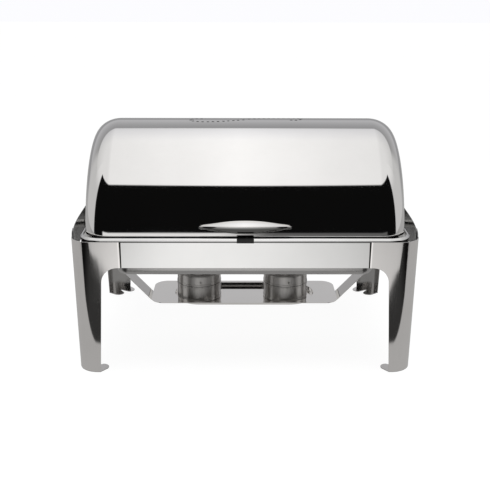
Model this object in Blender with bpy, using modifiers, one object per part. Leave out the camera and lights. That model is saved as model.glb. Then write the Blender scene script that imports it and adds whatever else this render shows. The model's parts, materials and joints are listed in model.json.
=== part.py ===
"""A rectangular roll-top chafing dish with its stand, water pan, food pan and two fuel burners.

Metres, +Z up. The front faces -Y, and the origin is on the floor under the middle of the stand.
The lid turns about an axis along X through both pivot bolts, and rolls back over the rear wall.
"""

import math

import bmesh
import bpy

# Sheet and fits
GAP = 0.0003
SHEET = 0.0012
THIN_SHEET = 0.0010
BOLT_RADIUS = 0.0030
BORE_RADIUS = 0.0033

# Stand: four legs of bent sheet, which lean inwards by LEG_LEAN on their way down
LEG_HALF_X = 0.320
LEG_HALF_Y = 0.235
LEG_TOP = 0.2593
LEG_LEAN = 0.0034
LEG_CORNER = 0.038
LEG_WIDTH = 0.0435
WING_REACH = 0.092
WING_BOTTOM = 0.2095
WING_FILLET = 0.030
WING_ROOT = 0.0555
FOOT_THICKNESS = 0.0015
FOOT_LOBE = 0.0125
FOOT_LOBE_SET_BACK = 0.0205
FOOT_NOTCH = 0.020
FOOT_NOTCH_RUN = 0.006

# Sides, which bow outwards between the legs
SIDE_BULGE = 0.0134
SIDE_BULGE_POWER = 3.2
SIDE_PANEL_HALF_Y = 0.162

# Rim frame: an upright wall with a rolled bead along its top
RIM_HALF_X = 0.3033
RIM_HALF_Y = 0.2326
RIM_CORNER = 0.042
BEAD_OUT = 0.0012
BEAD_IN = 0.0048
BEAD_TOP = 0.2655
BUMPER_WIDTH = 0.031
BUMPER_WALL = 0.0010
BUMPER_FRONT_BOTTOM = 0.2575
BUMPER_BACK_BOTTOM = 0.2590

# Lid: a barrel about the pivot axis with flat ends
PIVOT_Z = 0.228
LID_RADIUS = 0.2152
LID_HALF_X = 0.2973
LID_EDGE_Z = 0.262
LID_FILLET_X = 0.0475
LID_FILLET_R = 0.036
ARM_HALF_WIDTH = 0.016
ARM_TOP = 0.312
ARM_X = 0.2958
ARM_THICKNESS = 0.0015
ARM_RIVET_HEIGHTS = {"lower": 0.276, "upper": 0.300}
RIVET_HOLE_RADIUS = 0.0019

# Handle: a flattened bow on the lid's front
HANDLE_HALF_X = 0.0805
HANDLE_END_Y = -0.2102
HANDLE_REACH = 0.0178
HANDLE_END_Z = 0.2810
HANDLE_RISE = 0.0050
HANDLE_SCREW_X = 0.0781
HANDLE_SCREW_Y = -0.2057
SCREW_HOLE_RADIUS = 0.0023
CUTTER_LENGTH = 0.012
SOCKET_LENGTH = 0.009
SOCKET_RADIUS = 0.0018
HANDLE_END_SECTION = [
    (0.0040, 0.0016),
    (0.0010, 0.0040),
    (-0.0028, 0.0034),
    (-0.0044, 0.0012),
    (-0.0042, -0.0020),
    (-0.0024, -0.0040),
    (0.0000, -0.0044),
    (0.0028, -0.0034),
    (0.0042, -0.0012),
]
HANDLE_MID_SECTION = [
    (0.0080, 0.0028),
    (-0.0020, 0.0070),
    (-0.0120, 0.0086),
    (-0.0130, 0.0055),
    (-0.0095, -0.0050),
    (-0.0060, -0.0125),
    (-0.0020, -0.0138),
    (0.0036, -0.0096),
    (0.0072, -0.0030),
]

# Pan carrier and its hanging strap
DECK_TOP = 0.2572
DECK_HALF_X = 0.284
DECK_FRONT = -0.2312
DECK_BACK = 0.203
DECK_FRONT_CHAMFER = (0.022, 0.0162)
DECK_BACK_CHAMFER = (0.024, 0.012)
DECK_OPENING_HALF_X = 0.254
DECK_OPENING_HALF_Y = 0.1515
FRONT_FLANGE_HALF_X = 0.250
FRONT_FLANGE_BOTTOM = 0.236
SIDE_FLANGE_HALF_Y = 0.045
SIDE_FLANGE_BOTTOM = 0.205
STRAP_HALF_WIDTH = 0.024
STRAP_THICKNESS = 0.0015
STRAP_TOP = 0.245
STRAP_KNEE_Z = 0.158
STRAP_FLOOR_HALF_X = 0.195
STRAP_FLOOR_Z = 0.0649

# Pans
PAN_HALF_X = 0.265
PAN_HALF_Y = 0.1625
PAN_CORNER = 0.032
PAN_WALL_CORNER = 0.024
WATER_PAN_HALF_X = 0.2515
WATER_PAN_HALF_Y = 0.1490
WATER_PAN_FLOOR = 0.163
FOOD_PAN_HALF_X = 0.2490
FOOD_PAN_HALF_Y = 0.1465
FOOD_PAN_FLOOR = 0.196

# Fuel shelf and burners
SHELF_HALF_X = 0.1935
SHELF_HALF_Y = 0.066
SHELF_TOP = 0.076
RECESS_HALF_X = 0.146
RECESS_HALF_Y = 0.055
RECESS_FLOOR = 0.068
BURNER_SPACING = 0.182
BURNER_SHIFT = -0.0045
BURNER_RADIUS = 0.0463
BURNER_FLOOR = RECESS_FLOOR + GAP
CUP_TOP = 0.1025
COVER_TOP = 0.1252
FLAME_OPENING = 0.032
VENT_RADIUS = 0.0013
VENT_SHIFT = 0.005
VENT_Z = 0.112
SNUFFER_RADIUS = 0.0365
RIVET_OFFSET = 0.0385

# Finishes: colour, roughness, metallic
MIRROR = ((0.80, 0.79, 0.78), 0.06, 1.0)
BRUSHED = ((0.66, 0.65, 0.64), 0.32, 1.0)
DARK_STEEL = ((0.45, 0.44, 0.43), 0.28, 1.0)
BLACK_PLASTIC = ((0.02, 0.02, 0.02), 0.25, 0.0)
NYLON = ((0.82, 0.81, 0.78), 0.50, 0.0)

SIDES = {"left": -1, "right": 1}
ENDS = {"front": -1, "rear": 1}
CROSSWISE = (math.pi / 2, 0.0, math.pi / 2)
TO_X = (0.0, math.pi / 2, 0.0)
TO_Y = (math.pi / 2, 0.0, 0.0)


def clear_scene():
    for obj in list(bpy.data.objects):
        bpy.data.objects.remove(obj, do_unlink=True)


def new_collection(name, hidden=False):
    collection = bpy.data.collections.new(name)
    bpy.context.scene.collection.children.link(collection)
    collection.hide_render = hidden
    return collection


def add_material(obj, finish):
    color, roughness, metallic = finish
    material = bpy.data.materials.new(obj.name)
    material.use_nodes = True
    shader = material.node_tree.nodes["Principled BSDF"]
    shader.inputs["Base Color"].default_value = (*color, 1.0)
    shader.inputs["Roughness"].default_value = roughness
    shader.inputs["Metallic"].default_value = metallic
    obj.data.materials.append(material)


def add_part(name, data, finish, location=(0, 0, 0), rotation=(0, 0, 0)):
    obj = bpy.data.objects.new(name, data)
    PARTS.objects.link(obj)
    obj.location = location
    obj.rotation_euler = rotation
    add_material(obj, finish)
    return obj


def shade(obj):
    obj.data.shade_smooth()
    obj.data.set_sharp_from_angle(angle=math.radians(35))


def arc(center, radius, start, end, steps):
    """Points on a circular arc, with its angles in degrees."""
    angles = [math.radians(start + (end - start) * i / steps) for i in range(steps + 1)]
    return [
        (center[0] + radius * math.cos(a), center[1] + radius * math.sin(a)) for a in angles
    ]


def rounded_rect(half_x, half_y, radius, steps=4):
    points = []
    for quadrant, (side_x, side_y) in enumerate([(1, 1), (-1, 1), (-1, -1), (1, -1)]):
        center = (side_x * (half_x - radius), side_y * (half_y - radius))
        points += arc(center, radius, 90 * quadrant, 90 * quadrant + 90, steps)
    return points


def level(points, z):
    return [(x, y, z) for x, y in points]


def flat_plate(name, outlines, thickness, finish, location, rotation=(0, 0, 0)):
    """A flat plate from an outline and any holes in it, centred on its thickness."""
    curve = bpy.data.curves.new(name, "CURVE")
    curve.dimensions = "2D"
    curve.fill_mode = "BOTH"
    curve.extrude = thickness / 2
    for outline in outlines:
        spline = curve.splines.new("POLY")
        spline.points.add(len(outline) - 1)
        for point, (x, y) in zip(spline.points, outline):
            point.co = (x, y, 0.0, 1.0)
        spline.use_cyclic_u = True
    return add_part(name, curve, finish, location, rotation)


def as_mesh(curve_obj):
    """The same plate as a mesh with welded caps, so that it can be cut or joined."""
    name = curve_obj.name
    graph = bpy.context.evaluated_depsgraph_get()
    mesh = bpy.data.meshes.new_from_object(curve_obj.evaluated_get(graph))
    bm = bmesh.new()
    bm.from_mesh(mesh)
    bmesh.ops.remove_doubles(bm, verts=bm.verts, dist=1e-6)
    bm.to_mesh(mesh)
    bm.free()
    obj = bpy.data.objects.new(name + "_mesh", mesh)
    PARTS.objects.link(obj)
    bpy.context.view_layer.update()
    obj.matrix_world = curve_obj.matrix_world
    bpy.data.objects.remove(curve_obj, do_unlink=True)
    obj.name = name
    return obj


def mesh_from_bmesh(name, bm):
    mesh = bpy.data.meshes.new(name)
    bm.to_mesh(mesh)
    bm.free()
    return mesh


def lofted_sheet(name, rows, finish, thickness, closed=True, caps=()):
    """A sheet through rows of points, given its thickness against the faces' normals.

    Each row's first point is next to the other rows' first points. Caps fill the rows they name.
    """
    bm = bmesh.new()
    verts = [[bm.verts.new(point) for point in row] for row in rows]
    count = len(rows[0])
    for lower, upper in zip(verts, verts[1:]):
        for i in range(count if closed else count - 1):
            j = (i + 1) % count
            bm.faces.new((lower[i], lower[j], upper[j], upper[i]))
    for cap in caps:
        ring = verts[cap]
        bm.faces.new(ring if cap else ring[::-1])
    obj = add_part(name, mesh_from_bmesh(name, bm), finish)
    if thickness:
        solidify = obj.modifiers.new("thickness", "SOLIDIFY")
        solidify.thickness = thickness
        solidify.offset = -1.0
        solidify.use_even_offset = True
    shade(obj)
    return obj


def turned(name, profile, finish, location, rotation=(0, 0, 0), steps=16, closed=False):
    """A turned piece from (radius, height) points, which run down its outer side."""
    mesh = bpy.data.meshes.new(name)
    edges = [(i, i + 1) for i in range(len(profile) - 1)]
    if closed:
        edges.append((len(profile) - 1, 0))
    mesh.from_pydata([(r, 0.0, z) for r, z in profile], edges, [])
    obj = add_part(name, mesh, finish, location, rotation)
    screw = obj.modifiers.new("turn", "SCREW")
    screw.steps = steps
    screw.render_steps = steps
    screw.use_merge_vertices = True
    screw.merge_threshold = 1e-6
    return obj


def cylinder_cutter(name, radius, depth, location, rotation=(0, 0, 0), sides=12):
    bm = bmesh.new()
    bmesh.ops.create_cone(
        bm, cap_ends=True, segments=sides, radius1=radius, radius2=radius, depth=depth
    )
    cutter = bpy.data.objects.new(name, mesh_from_bmesh(name, bm))
    CUTTERS.objects.link(cutter)
    cutter.location = location
    cutter.rotation_euler = rotation
    cutter.hide_render = True
    cutter.display_type = "WIRE"
    return cutter


def box_joiner(name, low, high):
    bm = bmesh.new()
    bmesh.ops.create_cube(bm, size=1.0)
    size = [b - a for a, b in zip(low, high)]
    bmesh.ops.scale(bm, vec=size, verts=bm.verts)
    joiner = bpy.data.objects.new(name, mesh_from_bmesh(name, bm))
    CUTTERS.objects.link(joiner)
    joiner.location = [(a + b) / 2 for a, b in zip(low, high)]
    joiner.hide_render = True
    joiner.display_type = "WIRE"
    return joiner


def boolean(obj, other, operation):
    modifier = obj.modifiers.new(f"{operation.lower()} {other.name}", "BOOLEAN")
    modifier.operation = operation
    modifier.object = other
    modifier.solver = "EXACT"


def side_x(y):
    """How far out the bowed side is at y, at the legs' top."""
    share = abs(y) / (LEG_HALF_Y - LEG_CORNER)
    return LEG_HALF_X + SIDE_BULGE * (1 - share**SIDE_BULGE_POWER)


def leaned(x, y, z):
    inwards = LEG_LEAN * (1 - z / LEG_TOP)
    return (x - inwards, y - inwards, z)


def wing_stations(corner):
    """(distance from the corner's two planes, lowest height) along one flange, from its tip."""
    arc_start = WING_ROOT + WING_FILLET
    fillet = arc((0.0, WING_BOTTOM - WING_FILLET), WING_FILLET, 90, 0, 4)
    stations = [(corner - WING_REACH, WING_BOTTOM)]
    stations += [(corner - arc_start + step, height) for step, height in fillet]
    stations.append((corner - LEG_WIDTH, 0.0))
    return stations


def leg_rows():
    """The leg's top and bottom edges in the quadrant of positive x and y."""
    columns = [(x, LEG_HALF_Y, low) for x, low in wing_stations(LEG_HALF_X)]
    center = (LEG_HALF_X - LEG_CORNER, LEG_HALF_Y - LEG_CORNER)
    columns += [(x, y, 0.0) for x, y in arc(center, LEG_CORNER, 90, 0, 6)]
    columns += [
        (max(side_x(y), LEG_HALF_X), y, low) for y, low in reversed(wing_stations(LEG_HALF_Y))
    ]
    top = [leaned(x, y, LEG_TOP) for x, y, low in columns]
    bottom = [leaned(x, y, low) for x, y, low in columns]
    return top, bottom


def foot_outline():
    """The foot plate seen from above, in the quadrant of positive x and y.

    Each flange ends in a lobe set back from the flange's plane, with a slanted edge up to it.
    """
    edge = LEG_LEAN + SHEET / 2
    corner_x = LEG_HALF_X - edge
    corner_y = LEG_HALF_Y - edge
    start = LEG_WIDTH - SHEET / 2
    slant = math.degrees(math.asin(FOOT_LOBE / FOOT_LOBE_SET_BACK))
    notch_x = corner_x - FOOT_NOTCH
    notch_y = corner_y - FOOT_NOTCH
    half_run = FOOT_NOTCH_RUN / 2
    outline = [(corner_x - start, corner_y)]
    lobe = (corner_x - start, corner_y - FOOT_LOBE_SET_BACK)
    outline += arc(lobe, FOOT_LOBE, 180 - slant, 270, 6)
    outline.append((notch_x - FOOT_NOTCH_RUN, notch_y - half_run))
    outline.append((notch_x, notch_y))
    outline.append((notch_x - half_run, notch_y - FOOT_NOTCH_RUN))
    lobe = (corner_x - FOOT_LOBE_SET_BACK, corner_y - start)
    outline += arc(lobe, FOOT_LOBE, 180, 270 + slant, 6)
    outline.append((corner_x, corner_y - start))
    inner = LEG_CORNER - SHEET / 2
    outline += arc((corner_x - inner, corner_y - inner), inner, 0, 90, 6)
    return outline


def make_legs():
    for end, end_y in ENDS.items():
        for side, side_sign in SIDES.items():
            name = f"leg_{end}_{side}"
            flip = side_sign * end_y < 0
            rows = [
                [(side_sign * x, end_y * y, z) for x, y, z in row] for row in leg_rows()
            ]
            leg = lofted_sheet(name, rows[::-1] if flip else rows, MIRROR, SHEET, closed=False)
            outline = [(side_sign * x, end_y * y) for x, y in foot_outline()]
            middle = (0, 0, FOOT_THICKNESS / 2)
            foot = as_mesh(
                flat_plate(name + "_foot", [outline], FOOT_THICKNESS, MIRROR, middle)
            )
            PARTS.objects.unlink(foot)
            CUTTERS.objects.link(foot)
            foot.hide_render = True
            foot.display_type = "WIRE"
            boolean(leg, foot, "UNION")


def make_side_panels():
    steps = 12
    for side, sign in SIDES.items():
        rows = []
        for z in (LEG_TOP, WING_BOTTOM):
            row = []
            for i in range(steps + 1):
                y = SIDE_PANEL_HALF_Y * (1 - 2 * i / steps)
                x, _, _ = leaned(side_x(y) - SHEET - GAP, y, z)
                row.append((sign * x, y, z))
            rows.append(row)
        rows = rows if sign > 0 else rows[::-1]
        panel = lofted_sheet(f"side_panel_{side}", rows, MIRROR, THIN_SHEET, closed=False)
        boolean(panel, PIVOT_BORE, "DIFFERENCE")


def make_rim_frame():
    profile = [
        (0.0, WING_BOTTOM),
        (0.0, BEAD_TOP - 0.0065),
        (-BEAD_OUT, BEAD_TOP - 0.0053),
        (-BEAD_OUT, BEAD_TOP - 0.0042),
        (0.0027, BEAD_TOP - 0.0003),
        (0.0034, BEAD_TOP),
        (BEAD_IN, BEAD_TOP - 0.0016),
        (BEAD_IN, BEAD_TOP - 0.0055),
    ]
    rows = [
        level(rounded_rect(RIM_HALF_X - inset, RIM_HALF_Y - inset, RIM_CORNER - inset), z)
        for inset, z in profile
    ]
    rim = lofted_sheet("rim_frame", rows, MIRROR, THIN_SHEET)
    boolean(rim, PIVOT_BORE, "DIFFERENCE")


def make_front_bumper():
    """A plastic clip over the middle of the front bead, which the closed lid's edge meets."""
    front = -RIM_HALF_Y - BEAD_OUT - GAP
    back = -RIM_HALF_Y + BEAD_IN + GAP
    under = BEAD_TOP + GAP
    top = under + BUMPER_WALL
    chamfer = BUMPER_WALL * 0.8
    section = [
        (front, BUMPER_FRONT_BOTTOM),
        (front - BUMPER_WALL, BUMPER_FRONT_BOTTOM),
        (front - BUMPER_WALL, top - chamfer),
        (front, top),
        (back, top),
        (back + BUMPER_WALL, top - chamfer),
        (back + BUMPER_WALL, BUMPER_BACK_BOTTOM),
        (back, BUMPER_BACK_BOTTOM),
        (back, under),
        (front, under),
    ]
    flat_plate("front_bumper", [section], BUMPER_WIDTH, BLACK_PLASTIC, (0, 0, 0), CROSSWISE)


def carrier_flange(strip, low, high):
    """Adds the flange that a carrier strip has along its outer edge."""
    boolean(strip, box_joiner(strip.name + "_flange", low, high), "UNION")


def make_pan_carrier():
    """Four strips around the pans, chamfered clear of the legs and of the rolling lid."""
    low = DECK_TOP - SHEET / 2
    front_x, front_y = DECK_FRONT_CHAMFER
    back_x, back_y = DECK_BACK_CHAMFER
    half = [
        (DECK_HALF_X, -DECK_OPENING_HALF_Y),
        (DECK_HALF_X, DECK_FRONT + front_y),
        (DECK_HALF_X - front_x, DECK_FRONT),
    ]
    outline = [(-x, y) for x, y in half] + half[::-1]
    front = as_mesh(flat_plate("carrier_front", [outline], SHEET, BRUSHED, (0, 0, low)))
    flange_low = (-FRONT_FLANGE_HALF_X, DECK_FRONT, FRONT_FLANGE_BOTTOM)
    carrier_flange(front, flange_low, (FRONT_FLANGE_HALF_X, DECK_FRONT + SHEET, low))

    half = [
        (DECK_HALF_X - back_x, DECK_BACK),
        (DECK_HALF_X, DECK_BACK - back_y),
        (DECK_HALF_X, DECK_OPENING_HALF_Y),
    ]
    outline = [(-x, y) for x, y in half] + half[::-1]
    as_mesh(flat_plate("carrier_back", [outline], SHEET, BRUSHED, (0, 0, low)))

    half_y = DECK_OPENING_HALF_Y - GAP
    for side, sign in SIDES.items():
        ends = sorted((sign * DECK_OPENING_HALF_X, sign * DECK_HALF_X))
        outline = [(ends[0], -half_y), (ends[1], -half_y), (ends[1], half_y), (ends[0], half_y)]
        name = f"carrier_{side}"
        strip = as_mesh(flat_plate(name, [outline], SHEET, BRUSHED, (0, 0, low)))
        inner, outer = sorted((sign * DECK_HALF_X, sign * (DECK_HALF_X - SHEET)))
        flange_low = (inner, -SIDE_FLANGE_HALF_Y, SIDE_FLANGE_BOTTOM)
        carrier_flange(strip, flange_low, (outer, SIDE_FLANGE_HALF_Y, low))
        boolean(strip, PIVOT_BORE, "DIFFERENCE")


def make_hanger_strap():
    outer = DECK_HALF_X - SHEET - GAP
    half = [(STRAP_FLOOR_HALF_X, STRAP_FLOOR_Z), (outer, STRAP_KNEE_Z), (outer, STRAP_TOP)]
    path = [(-x, z) for x, z in reversed(half)] + half
    rows = [[(x, y, z) for x, z in path] for y in (-STRAP_HALF_WIDTH, STRAP_HALF_WIDTH)]
    strap = lofted_sheet("hanger_strap", rows[::-1], BRUSHED, STRAP_THICKNESS, closed=False)
    boolean(strap, PIVOT_BORE, "DIFFERENCE")


def make_fuel_shelf():
    floor_corner = RECESS_HALF_Y - 0.001
    rows = [
        level(rounded_rect(SHELF_HALF_X, SHELF_HALF_Y, 0.028), SHELF_TOP),
        level(rounded_rect(RECESS_HALF_X, RECESS_HALF_Y, floor_corner), SHELF_TOP),
        level(rounded_rect(RECESS_HALF_X, RECESS_HALF_Y, floor_corner), RECESS_FLOOR + 0.001),
        level(
            rounded_rect(RECESS_HALF_X - 0.002, RECESS_HALF_Y - 0.002, floor_corner - 0.002),
            RECESS_FLOOR,
        ),
    ]
    lofted_sheet("fuel_shelf", rows, BRUSHED, SHEET, caps=(3,))


def pan_rows(half_x, half_y, rim_z, floor_z):
    """A pan's outer surface from its rim to its floor, for a body of this size at the top."""
    spans = [
        (PAN_HALF_X - half_x, rim_z, PAN_CORNER),
        (0.0, rim_z, PAN_WALL_CORNER),
        (-0.0010, rim_z - 0.004, PAN_WALL_CORNER),
        (-0.0030, floor_z + 0.012, PAN_WALL_CORNER),
        (-0.0065, floor_z + 0.0035, PAN_WALL_CORNER - 0.003),
        (-0.0150, floor_z, PAN_WALL_CORNER - 0.010),
    ]
    return [level(rounded_rect(half_x + grow, half_y + grow, radius), z) for grow, z, radius in spans]


def make_pans():
    """The water pan in one piece, and the food pan as a tub with the flat rim around it."""
    rim_z = DECK_TOP + GAP
    water = pan_rows(WATER_PAN_HALF_X, WATER_PAN_HALF_Y, rim_z, WATER_PAN_FLOOR)
    lofted_sheet("water_pan", water[::-1], BRUSHED, THIN_SHEET, caps=(0,))

    low = rim_z + THIN_SHEET + GAP
    tub = pan_rows(FOOD_PAN_HALF_X, FOOD_PAN_HALF_Y, low, FOOD_PAN_FLOOR)[1:]
    mouth = rounded_rect(FOOD_PAN_HALF_X, FOOD_PAN_HALF_Y, PAN_WALL_CORNER)
    tub[0] = level(mouth, low + THIN_SHEET)
    lofted_sheet("food_pan", tub[::-1], BRUSHED, THIN_SHEET, caps=(0,))
    outer = rounded_rect(PAN_HALF_X, PAN_HALF_Y, PAN_CORNER)
    inner = rounded_rect(
        FOOD_PAN_HALF_X + GAP, FOOD_PAN_HALF_Y + GAP, PAN_WALL_CORNER + GAP
    )
    middle = low + THIN_SHEET / 2
    flat_plate("food_pan_rim", [outer, inner], THIN_SHEET, BRUSHED, (0, 0, middle))


def lid_row(x, radius):
    """The barrel's section at x, from its front edge over the top to its rear edge."""
    edge = math.degrees(math.asin((LID_EDGE_Z - PIVOT_Z) / radius))
    return [(x, y, z) for y, z in arc((0.0, PIVOT_Z), radius, 180 - edge, edge, 20)]


def make_lid_shell():
    fillet = [math.radians(90 * i / 4) for i in range(5)]
    half = []
    for turn in fillet:
        x = LID_HALF_X - LID_FILLET_X * (1 - math.sin(turn))
        half.append((x, LID_RADIUS - LID_FILLET_R * (1 - math.cos(turn))))
    stations = half[::-1] + [(-x, radius) for x, radius in half]
    rows = [lid_row(x, radius) for x, radius in stations]
    shell = lofted_sheet("lid_shell", rows, MIRROR, SHEET, closed=False, caps=(0, 9))
    for side, sign in SIDES.items():
        for place, height in ARM_RIVET_HEIGHTS.items():
            name = f"lid_hole_{place}_{side}"
            at = (sign * LID_HALF_X, 0, height)
            hole = cylinder_cutter(name, RIVET_HOLE_RADIUS, CUTTER_LENGTH, at, TO_X)
            boolean(shell, hole, "DIFFERENCE")
        at = (sign * HANDLE_SCREW_X, HANDLE_SCREW_Y, HANDLE_END_Z)
        name = f"lid_screw_hole_{side}"
        screw_hole = cylinder_cutter(name, SCREW_HOLE_RADIUS, CUTTER_LENGTH, at, TO_Y)
        boolean(shell, screw_hole, "DIFFERENCE")


def handle_row(turn):
    """The grip's section at this turn along the bow, from -90 to 90 degrees: a deep wedge in the
    middle, with a flat top and a full belly, and a small oval at each end."""
    angle = math.radians(turn)
    bow = math.cos(angle)
    center_x = HANDLE_HALF_X * math.sin(angle)
    center_y = HANDLE_END_Y - HANDLE_REACH * bow
    center_z = HANDLE_END_Z + HANDLE_RISE * bow
    row = []
    for (end_out, end_up), (mid_out, mid_up) in zip(HANDLE_END_SECTION, HANDLE_MID_SECTION):
        swell = bow**3 if mid_up < 0 else bow**1.5
        out = end_out + (mid_out - end_out) * bow**0.6
        up = end_up + (mid_up - end_up) * swell
        row.append((center_x + out * math.sin(angle), center_y - out * bow, center_z + up))
    return row


def make_handle():
    steps = 14
    rows = [handle_row(-90 + 180 * i / steps) for i in range(steps + 1)]
    handle = lofted_sheet("lid_handle", rows, MIRROR, 0.0, caps=(0, steps))
    for side, sign in SIDES.items():
        at = (sign * HANDLE_SCREW_X, HANDLE_END_Y, HANDLE_END_Z)
        socket = cylinder_cutter(f"handle_socket_{side}", SOCKET_RADIUS, SOCKET_LENGTH, at, TO_Y)
        boolean(handle, socket, "DIFFERENCE")
        screw = [
            (0.0, 0.0022),
            (0.0030, 0.0020),
            (0.0040, 0.0010),
            (0.0040, 0.0),
            (0.0015, 0.0),
            (0.0015, -0.0060),
            (0.0, -0.0060),
        ]
        at = (sign * HANDLE_SCREW_X, HANDLE_SCREW_Y, HANDLE_END_Z)
        turned(f"handle_screw_{side}", screw, BRUSHED, at, (-math.pi / 2, 0, 0), 12)


def make_lid_arms():
    """Plates inside the lid's ends, which carry the lid on the pivot bolts."""
    outline = arc((0.0, PIVOT_Z), ARM_HALF_WIDTH, 180, 360, 8)
    outline += [(ARM_HALF_WIDTH, ARM_TOP), (-ARM_HALF_WIDTH, ARM_TOP)]
    bore = arc((0.0, PIVOT_Z), BORE_RADIUS, 0, -330, 11)
    holes = [arc((0.0, z), RIVET_HOLE_RADIUS, 0, -315, 7) for z in ARM_RIVET_HEIGHTS.values()]
    rivet = [
        (0.0, 0.0014),
        (0.0016, 0.0014),
        (0.0016, -0.0018),
        (0.0035, -0.0018),
        (0.0035, -0.0030),
        (0.0, -0.0030),
    ]
    for side, sign in SIDES.items():
        middle = sign * (ARM_X - ARM_THICKNESS / 2)
        outlines = [outline, bore, *holes]
        at = (middle, 0, 0)
        flat_plate(f"lid_arm_{side}", outlines, ARM_THICKNESS, BRUSHED, at, CROSSWISE)
        for place, height in ARM_RIVET_HEIGHTS.items():
            at = (sign * ARM_X, 0, height)
            turned(f"lid_rivet_{place}_{side}", rivet, BRUSHED, at, (0, sign * math.pi / 2, 0), 10)


def ring(outer, low, high):
    return [(outer, high), (outer, low), (BORE_RADIUS, low), (BORE_RADIUS, high)]


def make_pivots():
    """The bolt at each end of the lid's axis, with what it clamps between panel and strap."""
    panel_x = side_x(0) - SHEET - GAP - LEG_LEAN * (1 - PIVOT_Z / LEG_TOP)
    strap_x = DECK_HALF_X - SHEET - GAP - STRAP_THICKNESS
    head = panel_x + GAP
    tip = strap_x - 0.0060
    bolt = [
        (0.0, head + 0.0024),
        (0.0045, head + 0.0020),
        (0.0070, head + 0.0006),
        (0.0070, head),
        (BOLT_RADIUS, head),
        (BOLT_RADIUS, tip),
        (0.0, tip),
    ]
    rings = {
        "pivot_spacer": (0.0080, RIM_HALF_X + GAP, panel_x - THIN_SHEET - 0.0006, BRUSHED),
        "pivot_bushing": (0.0090, ARM_X + GAP, RIM_HALF_X - THIN_SHEET - GAP, NYLON),
        "pivot_washer": (0.0090, DECK_HALF_X + GAP, ARM_X - ARM_THICKNESS - GAP, NYLON),
    }
    nut_thickness = 0.0042
    nut = [arc((0.0, PIVOT_Z), 0.0058, 0, 300, 5), arc((0.0, PIVOT_Z), BORE_RADIUS, 0, -330, 11)]
    for side, sign in SIDES.items():
        place = (0, 0, PIVOT_Z)
        turn = (0, sign * math.pi / 2, 0)
        turned(f"pivot_bolt_{side}", bolt, BRUSHED, place, turn, 12)
        for name, (outer, low, high, finish) in rings.items():
            turned(f"{name}_{side}", ring(outer, low, high), finish, place, turn, 12, closed=True)
        nut_x = sign * (strap_x - GAP - nut_thickness / 2)
        flat_plate(f"pivot_nut_{side}", nut, nut_thickness, BRUSHED, (nut_x, 0, 0), CROSSWISE)


def snuffer_outline(sign):
    """A disc with a pivot ear outwards and a finger tab inwards, seen from above."""
    ear = (RIVET_OFFSET, 0.0060)
    tab = (0.0420, 0.0050)
    reach = [math.degrees(math.acos((SNUFFER_RADIUS - r) / d)) for d, r in (ear, tab)]
    points = arc((ear[0], 0.0), ear[1], -reach[0], reach[0], 4)
    points += arc((0.0, 0.0), SNUFFER_RADIUS, reach[0], 180 - reach[1], 8)
    points += arc((-tab[0], 0.0), tab[1], 180 - reach[1], 180 + reach[1], 4)
    points += arc((0.0, 0.0), SNUFFER_RADIUS, 180 + reach[1], 360 - reach[0], 8)
    outline = [(sign * x - sign * RIVET_OFFSET, y) for x, y in points]
    return outline if sign > 0 else outline[::-1]


def make_burners():
    wall = THIN_SHEET
    cup = [
        (0.0, BURNER_FLOOR + wall),
        (BURNER_RADIUS - wall, BURNER_FLOOR + wall),
        (BURNER_RADIUS - wall, CUP_TOP),
        (BURNER_RADIUS, CUP_TOP),
        (BURNER_RADIUS, BURNER_FLOOR + wall),
        (BURNER_RADIUS - wall, BURNER_FLOOR),
        (0.0, BURNER_FLOOR),
    ]
    seam = CUP_TOP + GAP
    shoulder = BURNER_RADIUS - 0.0008
    cover = [
        (FLAME_OPENING, COVER_TOP),
        (shoulder - 0.0035, COVER_TOP - 0.0002),
        (shoulder, COVER_TOP - 0.0040),
        (shoulder, seam + 0.0045),
        (BURNER_RADIUS, seam + 0.0040),
        (BURNER_RADIUS, seam),
        (shoulder - wall, seam),
        (shoulder - wall, COVER_TOP - 0.0045),
        (shoulder - 0.0040, COVER_TOP - wall),
        (FLAME_OPENING, COVER_TOP - wall),
    ]
    disc_middle = COVER_TOP + GAP + wall / 2
    disc_top = COVER_TOP + GAP + wall
    rivet = [
        (0.0, disc_top + 0.0020),
        (0.0026, disc_top + 0.0017),
        (0.0038, disc_top + 0.0008),
        (0.0038, disc_top + GAP),
        (0.0019, disc_top + GAP),
        (0.0019, COVER_TOP - wall - GAP),
        (0.0027, COVER_TOP - wall - GAP),
        (0.0027, COVER_TOP - wall - 0.0013),
        (0.0, COVER_TOP - wall - 0.0013),
    ]
    for side, sign in SIDES.items():
        center = BURNER_SHIFT + sign * BURNER_SPACING / 2
        pivot_x = center + sign * RIVET_OFFSET
        turned(f"burner_cup_{side}", cup, DARK_STEEL, (center, 0, 0), steps=24)
        at = (center, 0, 0)
        lid = turned(f"burner_cover_{side}", cover, DARK_STEEL, at, steps=24, closed=True)
        at = (center + VENT_SHIFT, -BURNER_RADIUS, VENT_Z)
        vent = cylinder_cutter(f"burner_vent_{side}", VENT_RADIUS, CUTTER_LENGTH, at, TO_Y, 8)
        boolean(lid, vent, "DIFFERENCE")
        at = (pivot_x, 0, COVER_TOP)
        pivot_hole = cylinder_cutter(f"burner_pivot_hole_{side}", 0.0021, CUTTER_LENGTH, at)
        boolean(lid, pivot_hole, "DIFFERENCE")
        outlines = [snuffer_outline(sign), arc((0.0, 0.0), 0.0022, 0, -330, 11)]
        at = (pivot_x, 0, disc_middle)
        flat_plate(f"snuffer_disc_{side}", outlines, wall, DARK_STEEL, at)
        turned(f"snuffer_rivet_{side}", rivet, DARK_STEEL, (pivot_x, 0, 0), steps=12)


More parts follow.
